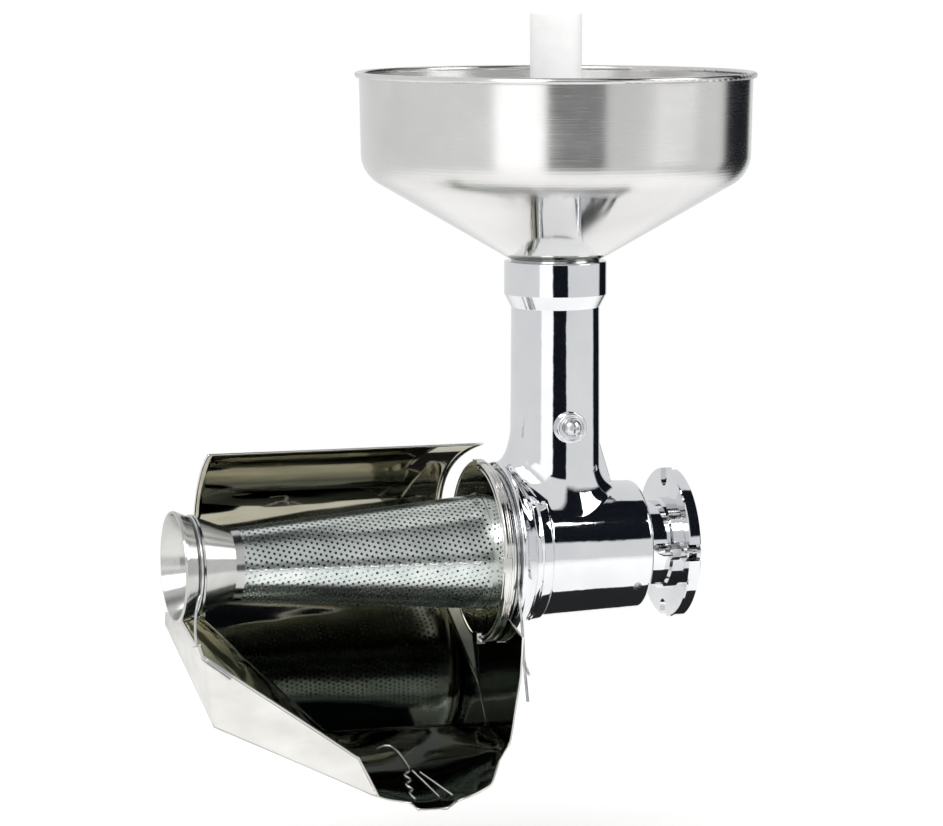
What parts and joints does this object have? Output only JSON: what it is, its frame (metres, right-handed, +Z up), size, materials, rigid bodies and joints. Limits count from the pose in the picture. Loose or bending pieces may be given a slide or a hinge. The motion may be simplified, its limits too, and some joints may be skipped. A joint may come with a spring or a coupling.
{
  "type": "food mill",
  "caption": "Motor-driven food mill attachment: hopper and pusher over a chromed auger body, conical screen, outlet cone and wire-hung splash guard.",
  "frame": {"origin": "centre of the drive flange's rear mounting face, on the auger's axis", "axes": "+X along the auger into the drive motor, +Z up along the feed tube, the pulp outlet points to -X and the trough's lip to -Y"},
  "size_m": [0.4235, 0.285, 0.5491],
  "materials": {
    "chrome": "polished",
    "satin_steel": "satin",
    "polished_sheet": "mirror polished",
    "perforated_steel": "polished",
    "turned_steel": "turned satin",
    "hardware": "plated",
    "white_plastic": "satin",
    "dark_nylon": "moulded",
    "bronze": "turned",
    "black_rubber": "matte"
  },
  "bodies": {
    "body_unit": {"body_casting": "chrome", "drive_flange": "chrome", "flange_bolts": "hardware", "flange_washers": "hardware", "flange_spacers": "hardware", "flange_nuts": "hardware", "rear_bush": "bronze", "shaft_seal": "black_rubber", "thrust_washer": "bronze", "screen_gasket": "black_rubber", "boss_screw": "hardware", "boss_washer": "hardware", "collar_plug": "chrome", "drain_plug": "chrome"},
    "auger_unit": {"auger": "dark_nylon", "auger_shaft": "hardware", "auger_cross_pin": "hardware"},
    "screen_unit": {"screen_cone": "perforated_steel", "screen_flange": "polished_sheet", "retaining_ring": "polished_sheet", "ring_tabs": "polished_sheet", "outlet_cone": "turned_steel"},
    "hopper_unit": {"hopper": "satin_steel", "hopper_neck": "turned_steel"},
    "pusher_unit": {"pusher": "white_plastic"},
    "guard_unit": {"splash_guard": "polished_sheet", "guard_sleeve": "polished_sheet", "front_wire_bail": "hardware", "rear_wire_bail": "hardware"}
  },
  "joints": [
    {"name": "auger_spin", "type": "hinge", "parent": "body_unit", "child": "auger_unit", "pos_m": [-0.06, 0, 0], "axis": [1, 0, 0], "continuous": true},
    {"name": "screen_twist", "type": "hinge", "parent": "body_unit", "child": "screen_unit", "pos_m": [-0.15, 0, 0], "axis": [1, 0, 0], "range_deg": [0, 40]},
    {"name": "hopper_lift", "type": "slide", "parent": "body_unit", "child": "hopper_unit", "axis": [0, 0, 1], "range_m": [0, 0.03]},
    {"name": "pusher_slide", "type": "slide", "parent": "hopper_unit", "child": "pusher_unit", "axis": [0, 0, 1], "range_m": [0, 0.16]},
    {"name": "guard_turn", "type": "hinge", "parent": "body_unit", "child": "guard_unit", "pos_m": [-0.25, 0, 0], "axis": [1, 0, 0], "range_deg": [-20, 20]}
  ]
}
